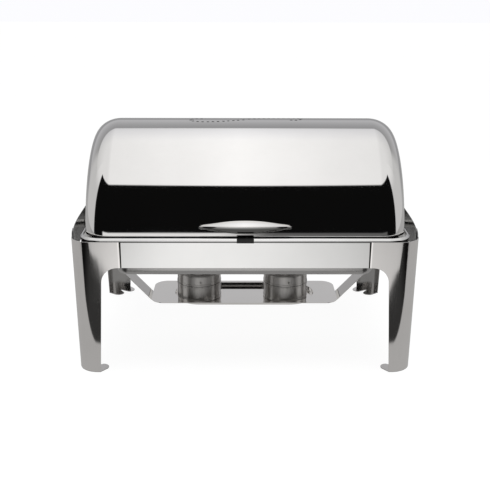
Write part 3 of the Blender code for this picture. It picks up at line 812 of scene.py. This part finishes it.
def vent_places():
    """(x, y) of the small steam holes, which follow an S scroll over the top of the lid."""
    ends = [(-0.006, -0.006), (-0.030, -0.013), (-0.060, -0.0205), (-0.092, -0.022)]
    ends += [(-0.112, -0.0135), (-0.113, 0.000), (-0.100, 0.009), (-0.087, 0.004)]
    dense = []
    for i in range(len(ends) - 1):
        p0 = Vector(ends[max(i - 1, 0)])
        p1, p2 = Vector(ends[i]), Vector(ends[i + 1])
        p3 = Vector(ends[min(i + 2, len(ends) - 1)])
        for k in range(40):
            t = k / 40
            bend = (2 * p0 - 5 * p1 + 4 * p2 - p3) * t * t
            twist = (3 * p1 - p0 - 3 * p2 + p3) * t * t * t
            dense.append(0.5 * (2 * p1 + (p2 - p0) * t + bend + twist))
    places, gone = [dense[0]], 0.0
    for before, here in zip(dense, dense[1:]):
        gone += (here - before).length
        if gone >= VENT_PITCH:
            gone -= VENT_PITCH
            places.append(here)
    return [(x * VENT_SPAN + VENT_SHIFT, y) for x, y in places + [-p for p in places]]


def lid_normal(x, y, z, inset):
    """The smooth lid's outward normal at a point of its outer or inner face."""
    half = LID_HALF_X - inset
    fillet_x, fillet_r = LID_FILLET_X - inset, LID_FILLET_R - inset
    share = 1 - (half - abs(x)) / fillet_x
    if share <= 0:
        along, out = 0.0, 1.0
    else:
        share = min(share, 1.0)
        along, out = fillet_r * share, fillet_x * math.sqrt(1 - share * share)
    length = math.hypot(along, out) or 1.0
    span = math.hypot(y, z - AXIS_Z) or 1.0
    return Vector(
        (
            math.copysign(along / length, x),
            y / span * out / length,
            (z - AXIS_Z) / span * out / length,
        )
    )


def lid_rows(inset, around=150, fillet_steps=18):
    half, radius = LID_HALF_X - inset, LID_RADIUS - inset
    fillet_x, fillet_r = LID_FILLET_X - inset, LID_FILLET_R - inset
    stations = []
    for i in range(fillet_steps + 1):
        t = HALF_PI * i / fillet_steps
        across = half - fillet_x * (1 - math.sin(t))
        stations.append((across, radius - fillet_r * (1 - math.cos(t))))
    middle_steps = 24
    flat = half - fillet_x
    between = [(flat * (1 - 2 * i / middle_steps), radius) for i in range(1, middle_steps)]
    full = stations[::-1] + between + [(-x, r) for x, r in stations]
    rows = []
    for x, r in full:
        edge = math.degrees(math.asin((LID_EDGE_Z - AXIS_Z) / r))
        rows.append([(x, y, z) for y, z in arc((0.0, AXIS_Z), r, 180 - edge, edge, around)])
    return rows


def lid_solid():
    """The lid's sheet: an outer and an inner skin, joined along the lower edge."""
    bm = bmesh.new()
    shells = []
    for inset in (0.0, SHEET):
        shells.append([[bm.verts.new(p) for p in row] for row in lid_rows(inset)])
    for flip, shell in enumerate(shells):
        for a, b in zip(shell, shell[1:]):
            for i in range(len(a) - 1):
                face = (a[i], a[i + 1], b[i + 1], b[i])
                bm.faces.new(face[::-1] if flip else face)
        for ring, turn in ((shell[0], 0), (shell[-1], 1)):
            bm.faces.new(ring[::-1] if turn == flip else ring)
    out, inn = shells
    for a, b, c, d in zip(out, out[1:], inn, inn[1:]):
        bm.faces.new((a[0], b[0], d[0], c[0]))
        bm.faces.new((b[-1], a[-1], c[-1], d[-1]))
    for row, other in ((out[0], inn[0]), (out[-1], inn[-1])):
        flip = row is out[0]
        face = (row[0], other[0], other[-1], row[-1])
        bm.faces.new(face if flip else face[::-1])
    bmesh.ops.recalc_face_normals(bm, faces=bm.faces)
    return bm


def lid_drills():
    """Pins through the lid's sheet: steam holes, and holes for the screws and rivets."""
    cut = bmesh.new()
    for x, y in vent_places():
        tilt = Matrix.Rotation(-math.asin(y / LID_RADIUS), 4, "X")
        at = Matrix.Translation((x, y, AXIS_Z + math.sqrt(LID_RADIUS**2 - y * y)))
        add_pin(cut, VENT_RADIUS, 0.008, at @ tilt)
    for side, sign in SIDES.items():
        at = Matrix.Translation((sign * HANDLE_SCREW_X, LID_FRONT_Y, HANDLE_END_Z))
        add_pin(cut, SCREW_HOLE, 0.012, at @ Matrix.Rotation(HALF_PI, 4, "X"))
        for height in ("lower", "upper"):
            center = middle(f"lid_rivet_{height}_{side}")
            at = Matrix.Translation((sign * LID_HALF_X, 0.0, center.z))
            add_pin(cut, RIVET_HOLE, 0.010, at @ Matrix.Rotation(HALF_PI, 4, "Y"))
    return cut


def make_lid():
    mesh = bpy.data.meshes.new("lid_barrel")
    solid = lid_solid()
    solid.to_mesh(mesh)
    solid.free()
    shell = place("lid_barrel", mesh, MIRROR_LID, "lid", ["lid_shell"])
    cut_away(shell, lid_drills())
    mesh.shade_smooth()
    mesh.materials.append(HOLE_SHADE)
    normals = []
    for polygon in mesh.polygons:
        normal = polygon.normal
        facing = normal.dot(lid_normal(*polygon.center, 0.0))
        cap = abs(normal.x) > 0.9999
        for index in polygon.loop_indices:
            point = mesh.vertices[mesh.loops[index].vertex_index].co
            if cap:
                normals.append(Vector((math.copysign(1.0, normal.x), 0.0, 0.0)))
            elif facing > 0.97:
                normals.append(lid_normal(*point, 0.0))
            elif facing < -0.97:
                normals.append(-lid_normal(*point, SHEET))
            else:
                # Neither skin: the cut edge of a hole or of the sheet, darkened as painted shade
                polygon.material_index = 1
                normals.append(normal.copy())
    mesh.normals_split_custom_set(normals)


def handle_row(turn, parts=5):
    """The grip's section at this turn along the bow: a wedge in the middle, an oval at the ends."""
    angle = math.radians(turn)
    bow = max(math.cos(angle), 0.0)
    center = (HANDLE_HALF_X * math.sin(angle), HANDLE_END_Y - HANDLE_REACH * bow)
    corners = []
    for (end_out, end_up), (mid_out, mid_up) in zip(HANDLE_END_SECTION, HANDLE_MID_SECTION):
        swell = bow**3 if mid_up < 0 else bow**1.5
        out = end_out + (mid_out - end_out) * bow**0.6
        corners.append((out, end_up + (mid_up - end_up) * swell))
    count = len(corners)
    front = max(out for out, up in corners)
    row = []
    for i in range(count):
        before, start, end, after = (corners[(i + k) % count] for k in (-1, 0, 1, 2))
        # The front edge stays crisp, and the rest is a smooth curve through the corners
        leave = 0.10 if i == 0 else 0.42
        arrive = 0.10 if i == count - 1 else 0.42
        for j in range(parts):
            t = j / parts
            h1, h2 = 2 * t**3 - 3 * t**2 + 1, 3 * t**2 - 2 * t**3
            h3, h4 = t**3 - 2 * t**2 + t, t**3 - t**2
            out, up = (
                h1 * start[k] + h2 * end[k]
                + h3 * leave * (end[k] - before[k]) + h4 * arrive * (after[k] - start[k])
                for k in (0, 1)
            )
            out = min(out, front)
            across = center[0] + out * math.sin(angle)
            row.append((across, center[1] - out * bow, HANDLE_END_Z + HANDLE_RISE * bow + up))
    return row


def make_handle():
    steps = 72
    rows = [handle_row(-90 + 180 * i / steps) for i in range(steps + 1)]
    piece(
        "lid_grip", loft(rows, caps=(0, steps)), GRIP, "lid", ["lid_handle"],
        edge=0.0004, sharp=30.0,
    )


def make_hardware():
    """Turned pins, rings and rivets, each about its own axis, with rounded corners."""
    screw = rounded_profile(
        [
            (0.0, SCREW_HEAD), (0.0030, 0.0021), (0.0040, 0.0009), (0.0040, 0.0),
            (0.0015, 0.0), (0.0015, -0.0060), (0.0, -0.0060),
        ],
        [0.002, 0.0008, 0.0002, 0.0, 0.0],
        4,
    )
    lid_rivet = rounded_profile(
        [
            (0.0, 0.0014), (0.0016, 0.0014), (0.0016, -0.0018), (0.0035, -0.0018),
            (0.0035, -0.0030), (0.0, -0.0030),
        ],
        [0.0004, 0.0, 0.0004, 0.0009],
        4,
    )
    for side, sign in SIDES.items():
        outwards = Matrix.Rotation(sign * HALF_PI, 4, "Y")
        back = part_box(f"handle_screw_{side}")[1].y
        at = (sign * HANDLE_SCREW_X, back - SCREW_HEAD, HANDLE_END_Z)
        piece(
            f"grip_screw_{side}", moved(turned(screw, 32), at, Matrix.Rotation(-HALF_PI, 4, "X")),
            FASTENER, "lid", [f"handle_screw_{side}"], sharp=30.0, edge=0.00015,
        )
        for height in ("lower", "upper"):
            center = middle(f"lid_rivet_{height}_{side}")
            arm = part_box(f"lid_arm_{side}")
            at = (arm[1].x if sign > 0 else arm[0].x, 0.0, center.z)
            piece(
                f"arm_rivet_{height}_{side}", moved(turned(lid_rivet, 32), at, outwards),
                FASTENER, "lid", [f"lid_rivet_{height}_{side}"], edge=0.00015,
            )
        low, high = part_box(f"pivot_bolt_{side}")
        tip = low.x if sign > 0 else -high.x
        crown = high.x if sign > 0 else -low.x
        head = crown - 0.0024
        bolt = rounded_profile(
            [
                (0.0, crown), (0.0050, crown - 0.0003), (0.0070, head + 0.0004), (0.0070, head),
                (0.0030, head), (0.0030, tip), (0.0, tip),
            ],
            [0.006, 0.0016, 0.0002, 0.0002, 0.0006],
            6,
        )
        piece(
            f"hinge_bolt_{side}", moved(turned(bolt, 48), (0, 0, AXIS_Z), outwards), FASTENER,
            "stand", [f"pivot_bolt_{side}"], edge=0.00015,
        )
        for ring, finish, slot in (
            ("pivot_spacer", FASTENER, "fastener_steel"),
            ("pivot_bushing", NYLON, "nylon"),
            ("pivot_washer", NYLON, "nylon"),
        ):
            low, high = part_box(f"{ring}_{side}")
            near, far = (low.x, high.x) if sign > 0 else (-high.x, -low.x)
            radius = (high.z - low.z) / 2
            profile = [(radius, far), (radius, near), (0.0033, near), (0.0033, far)]
            body = frame["nodes"][f"{ring}_{side}"]["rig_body"]
            piece(
                f"{ring.replace('pivot', 'hinge')}_{side}",
                moved(turned(profile, 48, closed=True), (0, 0, AXIS_Z), outwards),
                finish, body, [f"{ring}_{side}"], edge=0.00025,
            )


def snuffer_outline(sign):
    ear = (RIVET_OFFSET, 0.0060)
    tab = (0.0420, 0.0050)
    reach = [math.degrees(math.acos((SNUFFER_RADIUS - r) / d)) for d, r in (ear, tab)]
    points = arc((ear[0], 0.0), ear[1], -reach[0], reach[0], 16)
    points += arc((0.0, 0.0), SNUFFER_RADIUS, reach[0], 180 - reach[1], 48)[1:]
    points += arc((-tab[0], 0.0), tab[1], 180 - reach[1], 180 + reach[1], 16)[1:]
    points += arc((0.0, 0.0), SNUFFER_RADIUS, 180 + reach[1], 360 - reach[0], 48)[1:-1]
    outline = [(sign * x - sign * RIVET_OFFSET, y) for x, y in points]
    return outline if sign > 0 else outline[::-1]


def make_burners():
    wall = THIN_SHEET
    for side, sign in SIDES.items():
        low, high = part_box(f"burner_cup_{side}")
        center = (low.x + high.x) / 2
        floor = low.z
        cup = rounded_profile(
            [
                (0.0, floor + wall),
                (BURNER_RADIUS - wall, floor + wall),
                (BURNER_RADIUS - wall, CUP_TOP),
                (BURNER_RADIUS - 0.0004, CUP_TOP),
                (BURNER_RADIUS - 0.0006, CUP_TOP - 0.0013),
                (BURNER_RADIUS, CUP_TOP - 0.0019),
                (BURNER_RADIUS, CUP_TOP - 0.0036),
                (BURNER_RADIUS - 0.0007, CUP_TOP - 0.0044),
                (BURNER_RADIUS - 0.0007, floor + 0.0060),
                (BURNER_RADIUS, floor + 0.0046),
                (BURNER_RADIUS, floor),
                (BURNER_RADIUS - 0.006, floor),
                (BURNER_RADIUS - 0.007, floor + 0.0005),
                (0.0, floor + 0.0005),
            ],
            [0.0015, 0.0, 0.0, 0.0004, 0.0004, 0.0005, 0.0006, 0.0006, 0.0006, 0.0020, 0.0, 0.0],
            5,
        )
        seam = CUP_TOP + GAP
        shoulder = BURNER_RADIUS - 0.0008
        cover = rounded_profile(
            [
                (FLAME_OPENING, COVER_TOP - wall),
                (FLAME_OPENING, COVER_TOP),
                (shoulder, COVER_TOP),
                (shoulder, seam + 0.0042),
                (BURNER_RADIUS, seam + 0.0036),
                (BURNER_RADIUS, seam),
                (shoulder - wall, seam),
                (shoulder - wall, COVER_TOP - wall),
                (FLAME_OPENING, COVER_TOP - wall),
            ],
            [0.0003, 0.0040, 0.0005, 0.0006, 0.0003, 0.0, 0.0028],
            8,
        )[:-1]
        piece(
            f"fuel_cup_{side}", moved(turned(cup, 96), (center, 0, 0)), CAN_STEEL, f"burner_{side}",
            [f"burner_cup_{side}"], edge=0.0002,
        )
        body = moved(turned(cover, 96, closed=True), (center, 0, 0))
        lid = piece(
            f"fuel_cover_{side}", body, CAN_STEEL, f"burner_{side}",
            [f"burner_cover_{side}"], edge=0.0002,
        )
        vent = (center + 0.005, -BURNER_RADIUS, CAN_VENT_Z)
        drill_hole(lid, vent, CAN_VENT, Matrix.Rotation(HALF_PI, 4, "X"))
        pivot_x = center + sign * RIVET_OFFSET
        drill_hole(lid, (pivot_x, 0, COVER_TOP), 0.0021, Matrix.Identity(4))
        disc_middle = COVER_TOP + GAP + wall / 2
        hole = arc((0.0, 0.0), 0.0022, 0, -345, 23)
        disc = moved(plate([snuffer_outline(sign), hole], wall), (pivot_x, 0, disc_middle))
        piece(
            f"snuffer_plate_{side}", disc, CAN_STEEL, f"snuffer_{side}",
            [f"snuffer_disc_{side}"], edge=0.00025,
        )
        top = disc_middle + wall / 2
        rivet = rounded_profile(
            [
                (0.0, top + 0.0020), (0.0030, top + 0.0016),
                (0.0038, top + GAP), (0.0019, top + GAP),
                (0.0019, COVER_TOP - wall - GAP), (0.0027, COVER_TOP - wall - GAP),
                (0.0027, COVER_TOP - wall - 0.0013), (0.0, COVER_TOP - wall - 0.0013),
            ],
            [0.004, 0.001, 0.0, 0.0, 0.0, 0.0005],
            6,
        )
        piece(
            f"snuffer_pin_{side}", moved(turned(rivet, 32), (pivot_x, 0, 0)), CAN_STEEL,
            NODES[f"snuffer_rivet_{side}"]["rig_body"], [f"snuffer_rivet_{side}"],
            edge=0.00015,
        )


def add_pin(cut, radius, length, matrix, segments=20):
    bmesh.ops.create_cone(
        cut, cap_ends=True, segments=segments, radius1=radius, radius2=radius, depth=length,
        matrix=matrix,
    )


def drill_hole(obj, location, radius, turn):
    cut = bmesh.new()
    add_pin(cut, radius, 0.010, Matrix.Translation(location) @ turn, 24)
    cut_away(obj, cut)


def cut_away(obj, cut):
    """Takes the cutter's volume out of the object's own mesh."""
    mesh = bpy.data.meshes.new("drill")
    cut.to_mesh(mesh)
    cut.free()
    cutter = bpy.data.objects.new("drill", mesh)
    bpy.context.scene.collection.objects.link(cutter)
    modifier = obj.modifiers.new("hole", "BOOLEAN")
    modifier.operation = "DIFFERENCE"
    modifier.object = cutter
    modifier.solver = "EXACT"
    with bpy.context.temp_override(object=obj, active_object=obj):
        while obj.modifiers[0].name != modifier.name:
            bpy.ops.object.modifier_move_up(modifier=modifier.name)
        bpy.ops.object.modifier_apply(modifier=modifier.name)
    bpy.data.objects.remove(cutter, do_unlink=True)


def dress_nodes():
    """Materials and softened edges for the flat hardware that keeps its CAD shape."""
    finishes = {"carrier_front": SATIN, "carrier_back": SATIN}
    for side in SIDES:
        finishes[f"carrier_{side}"] = SATIN
        finishes[f"lid_arm_{side}"] = SATIN
        finishes[f"pivot_nut_{side}"] = FASTENER
    for node, material in finishes.items():
        obj = NODES[node]
        obj.data.materials.clear()
        obj.data.materials.append(material)
        weld = obj.modifiers.new("weld", "WELD")
        weld.merge_threshold = 1e-5
        add_edge(obj, 0.0003)


# ---------------------------------------------------------------- studio

# Brightness of what the steel reflects, each pair from one edge to the other
SOFTBOX = 0.84
SOFTBOX_MIDDLE = 0.30
BACK_WALL = (0.34, 0.50)
SIDE_WALL = 0.60
HORIZON = (0.86, 0.12)
BLACK = 0.004
TABLE = 0.43
WARM_WHITE = (1.0, 0.997, 0.993)
COOL_WHITE = (0.975, 0.975, 1.0)
FLOOR_SIZE = 12.0
FLOOR_GLOW = 0.93


def emitting(name):
    material = bpy.data.materials.new(name)
    material.use_nodes = True
    return material, Graph(material.node_tree)


def make_floor():
    """A pale floor. What the steel reflects of it is a second sheet, lit like a studio table."""
    for name in ("floor", "floor_in_reflections"):
        bm = bmesh.new()
        bmesh.ops.create_grid(bm, x_segments=2, y_segments=2, size=FLOOR_SIZE)
        mesh = bpy.data.meshes.new(name)
        bm.to_mesh(mesh)
        bm.free()
        obj = bpy.data.objects.new(name, mesh)
        bpy.context.scene.collection.objects.link(obj)
        obj.location.z = -0.0002
    floor = bpy.data.objects["floor"]
    floor.visible_glossy = False
    material, g = emitting("pale_floor")
    at = g.node("ShaderNodeTexCoord").outputs["Object"]
    mottle = g.noise(at, 3.0, 3.0)
    matte = g.node(
        "ShaderNodeBsdfDiffuse", Color=g.tinted(mottle, (0.12, 0.12, 0.12), (0.15, 0.15, 0.15))
    )
    glow = g.node("ShaderNodeEmission", Color=(1.0, 1.0, 1.0, 1.0), Strength=FLOOR_GLOW)
    both = g.node("ShaderNodeAddShader", i0=matte.outputs[0], i1=glow.outputs[0])
    g.node("ShaderNodeOutputMaterial", Surface=both.outputs[0])
    floor.data.materials.append(material)

    mirrored = bpy.data.objects["floor_in_reflections"]
    for kind in ("camera", "diffuse", "transmission", "volume_scatter", "shadow"):
        setattr(mirrored, f"visible_{kind}", False)
    material, g = emitting("floor_in_reflections")
    at = g.node("ShaderNodeSeparateXYZ", Vector=g.node("ShaderNodeTexCoord").outputs["Object"])
    x, y = at.outputs["X"], at.outputs["Y"]
    reach = g.math("ABSOLUTE", x)

    def line(start, slope):
        return g.math("MULTIPLY_ADD", reach, slope, start)

    # A lit area in front, brightest a little left of the middle
    off = g.math("ADD", x, 0.10)
    left = g.math("POWER", g.math("MAXIMUM", g.math("MULTIPLY", off, -3.6), 0.0), 2.0)
    right = g.math("POWER", g.math("MAXIMUM", g.math("MULTIPLY", off, 1.9), 0.0), 1.5)
    far = g.math("SUBTRACT", 1.04, g.math("MULTIPLY", left, 0.38))
    far = g.math("MAXIMUM", g.math("SUBTRACT", far, g.math("MULTIPLY", right, 0.50)), 0.38)
    # The grey table that the object stands on, and a dark wedge on each side in front of it
    near_edge = g.math("MINIMUM", line(-0.27, -0.30), line(-0.035, -0.69))
    far_edge = g.math("MAXIMUM", line(0.33, -3.0), line(-0.375, -1.14))
    far_edge = g.math("MULTIPLY_ADD", x, 0.14, far_edge)
    before = g.spread(g.math("SUBTRACT", y, near_edge), -0.008, 0.008, 1.0, 0.0, True)
    behind = g.spread(g.math("SUBTRACT", y, far_edge), -0.012, 0.012, 0.0, 1.0, True)
    light = g.blend(g.spread(y, -0.60, -0.45, 1.0, 0.0, True), TABLE, far)
    wedge = g.spread(reach, 0.45, 0.72, 0.034, 0.005)
    light = g.blend(g.math("MULTIPLY", before, behind), light, wedge)
    glow = g.node("ShaderNodeEmission", Color=(1.0, 0.995, 0.988, 1.0), Strength=light)
    g.node("ShaderNodeOutputMaterial", Surface=glow.outputs[0])
    mirrored.data.materials.append(material)


def make_world():
    """White behind the object; in reflections a softbox above, a black flag and grey walls."""
    world = bpy.data.worlds.new("studio")
    world.use_nodes = True
    bpy.context.scene.world = world
    g = Graph(world.node_tree)
    way = g.node("ShaderNodeSeparateXYZ", Vector=g.node("ShaderNodeTexCoord").outputs["Generated"])
    x, y, z = (way.outputs[k] for k in "XYZ")
    flat = g.math("SQRT", g.math("ADD", g.math("MULTIPLY", x, x), g.math("MULTIPLY", y, y)))
    sideways = g.math("DIVIDE", g.math("ABSOLUTE", x), g.math("MAXIMUM", flat, 0.001))

    def rising(value, low, high):
        return g.spread(value, low, high, 0.0, 1.0, True)

    in_front = g.spread(y, -0.02, 0.02, 1.0, 0.0, True)
    fade = g.math("POWER", g.spread(g.math("ABSOLUTE", x), 0.0, 0.30, 1.0, 0.0), 1.5)
    softbox = g.math("ADD", SOFTBOX, g.math("MULTIPLY", fade, SOFTBOX_MIDDLE))
    dimmer = g.spread(z, 0.66, 0.90, 0.80, 1.0)
    softbox = g.math("MULTIPLY", softbox, g.blend(in_front, dimmer, 1.0))
    low = g.math("MULTIPLY", rising(z, 0.18, 0.25), g.spread(z, 0.32, 0.64, 1.0, 0.0))
    low = g.blend(low, *BACK_WALL)
    low = g.blend(rising(sideways, 0.80, 0.95), low, SIDE_WALL)
    rear = g.blend(rising(z, 0.640, 0.668), low, softbox)
    sides = g.blend(rising(z, 0.52, 0.82), SIDE_WALL, softbox)
    horizon = g.blend(rising(x, -0.03, 0.04), *HORIZON)
    horizon = g.blend(rising(sideways, 0.44, 0.52), horizon, BLACK)
    flag = g.blend(rising(z, 0.080, 0.110), horizon, BLACK)
    flag = g.blend(rising(z, 0.815, 0.832), flag, softbox)
    front = g.blend(rising(sideways, 0.895, 0.915), flag, sides)
    light = g.blend(in_front, rear, front)
    seen = g.node("ShaderNodeLightPath").outputs["Is Camera Ray"]
    light = g.blend(seen, light, 1.0)
    cast = g.tinted(rising(y, 0.30, 0.80), WARM_WHITE, COOL_WHITE)
    glow = g.node("ShaderNodeBackground", Color=cast, Strength=light)
    g.node("ShaderNodeOutputWorld", Surface=glow.outputs[0])


def make_key_light():
    lamp = bpy.data.lights.new("overhead", "AREA")
    lamp.shape = "RECTANGLE"
    lamp.size = 1.6
    lamp.size_y = 1.2
    lamp.energy = 22.0
    light = bpy.data.objects.new("overhead", lamp)
    light.location = (0.0, -0.3, 1.9)
    light.rotation_euler = (math.radians(-9.0), 0.0, 0.0)
    light.visible_glossy = False
    bpy.context.scene.collection.objects.link(light)


def make_camera():
    """The photograph's camera, found from the object's own edges."""
    place_at = Vector((-0.011667, -1.696974, 0.720692))
    pitch, yaw, roll = 0.308674, 0.0075637, 0.0030779
    focal, sensor, width = 850.398, 36.0, 490.0
    ahead = Vector(
        (math.sin(yaw) * math.cos(pitch), math.cos(yaw) * math.cos(pitch), -math.sin(pitch))
    )
    right = Vector((math.cos(yaw), -math.sin(yaw), 0.0))
    up = right.cross(ahead)
    right_rolled = right * math.cos(roll) + up * math.sin(roll)
    up_rolled = up * math.cos(roll) - right * math.sin(roll)
    data = bpy.data.cameras.new("camera")
    data.sensor_width = sensor
    data.lens = focal * sensor / width
    data.clip_start = 0.01
    data.clip_end = 100.0
    camera = bpy.data.objects.new("camera", data)
    axes = Matrix((right_rolled, up_rolled, -ahead)).transposed().to_4x4()
    camera.matrix_world = Matrix.Translation(place_at) @ axes
    bpy.context.scene.collection.objects.link(camera)
    bpy.context.scene.camera = camera


make_legs()
make_side_panels()
make_rim()
make_bumper()
make_strap()
make_shelf()
make_pans()
make_lid()
make_handle()
make_hardware()
make_burners()
dress_nodes()
make_floor()
make_world()
make_key_light()
make_camera()
bpy.context.scene.view_settings.view_transform = "Standard"
